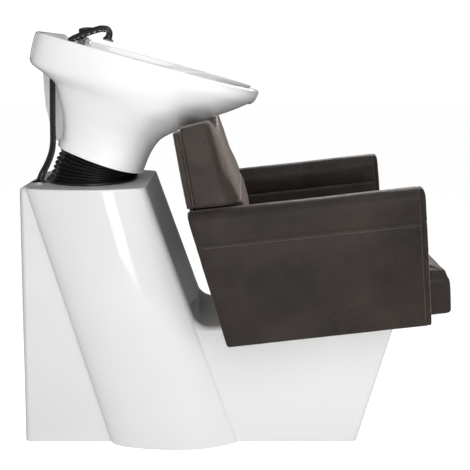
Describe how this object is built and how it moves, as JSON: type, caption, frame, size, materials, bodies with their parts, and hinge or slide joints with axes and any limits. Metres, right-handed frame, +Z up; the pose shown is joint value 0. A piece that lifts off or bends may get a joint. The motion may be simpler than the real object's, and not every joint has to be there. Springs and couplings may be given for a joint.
{
  "type": "salon backwash unit",
  "caption": "Salon backwash unit: white moulded base with a leaning column, tilting glazed basin on a bellows-covered hinge with tap and hand shower, and a brown upholstered armchair.",
  "frame": {"origin": "on the floor, at the middle of the outer box", "axes": "+X from the basin towards the front of the seat, +Y to the sitter's left, +Z up"},
  "size_m": [1.0907, 0.63, 1.0784],
  "materials": {
    "moulded_white": "glossy white gel-coat moulding",
    "glazed_white": "white glaze",
    "upholstery_brown": "dark brown coated leatherette over foam",
    "rubber_black": "matt black rubber",
    "steel_black": "black powder coat",
    "zinc_steel": "zinc plated",
    "chrome": "polished chrome",
    "tap_black": "satin black plastic",
    "plywood": "birch plywood",
    "nylon": "natural nylon",
    "pipe_grey": "grey pipe plastic",
    "brass": "machined brass",
    "braid": "braided hose"
  },
  "bodies": {
    "base": {"base_shell": "moulded_white", "rear_access_panel": "moulded_white", "access_panel_screws": "zinc_steel", "bracket_bolts": "zinc_steel", "seat_bolts": "zinc_steel", "arm_screws": "zinc_steel", "tilt_hinge_pin": "zinc_steel", "hinge_clamp_nuts": "zinc_steel", "floor_frame": "steel_black", "column_posts": "steel_black", "column_head_plate": "steel_black", "seat_post_plate": "steel_black", "seat_posts": "steel_black", "seat_frame": "steel_black", "back_uprights": "steel_black", "tilt_base_bracket": "steel_black", "inlet_bracket": "steel_black", "friction_washers": "nylon", "bellows": "rubber_black", "shower_hose_feed": "rubber_black", "shower_hose_return": "rubber_black", "hose_gland": "chrome", "waste_hose": "pipe_grey", "waste_spigot": "pipe_grey", "water_inlets": "brass", "hot_supply_hose": "braid", "cold_supply_hose": "braid", "seat_pan": "plywood", "seat_cushion": "upholstery_brown", "back_cushion": "upholstery_brown", "back_rear_panel": "upholstery_brown", "arm_left": "upholstery_brown", "arm_right": "upholstery_brown"},
    "basin": {"basin": "glazed_white", "basin_carrier": "steel_black", "carrier_gasket": "rubber_black", "carrier_bolts": "zinc_steel", "drain_flange": "chrome", "drain_back_nut": "pipe_grey", "drain_gasket": "rubber_black", "mixer_body": "chrome", "mixer_lock_nut": "nylon", "shower_cradle": "chrome", "shower_hose_guide": "chrome"},
    "mixer_cap": {"mixer_cap": "chrome", "lever_pivot_pin": "chrome"},
    "mixer_lever": {"mixer_lever": "tap_black"},
    "hand_shower": {"hand_shower": "tap_black", "spray_face": "chrome", "shower_tail_nut": "chrome", "shower_hose_tail": "rubber_black"},
    "hair_strainer": {"hair_strainer": "chrome"}
  },
  "joints": [
    {"name": "basin_tilt", "type": "hinge", "parent": "base", "child": "basin", "pos_m": [-0.275, 0, 0.716], "axis": [0, -1, 0], "range_deg": [0, 14], "deforming": ["bellows", "shower_hose_feed", "shower_hose_return", "waste_hose", "hot_supply_hose", "cold_supply_hose"]},
    {"name": "mixer_swivel", "type": "hinge", "parent": "basin", "child": "mixer_cap", "pos_m": [-0.36899, 0.045, 1.05844], "axis": [0.2924, 0, 0.9563], "range_deg": [-40, 40]},
    {"name": "lever_lift", "type": "hinge", "parent": "mixer_cap", "child": "mixer_lever", "pos_m": [-0.3792, 0.045, 1.05581], "axis": [0, -1, 0], "range_deg": [0, 25]},
    {"name": "shower_lift", "type": "slide", "parent": "basin", "child": "hand_shower", "axis": [0.2924, 0, 0.9563], "range_m": [0, 0.04]},
    {"name": "strainer_lift", "type": "slide", "parent": "basin", "child": "hair_strainer", "axis": [0.2924, 0, 0.9563], "range_m": [0, 0.05]}
  ]
}
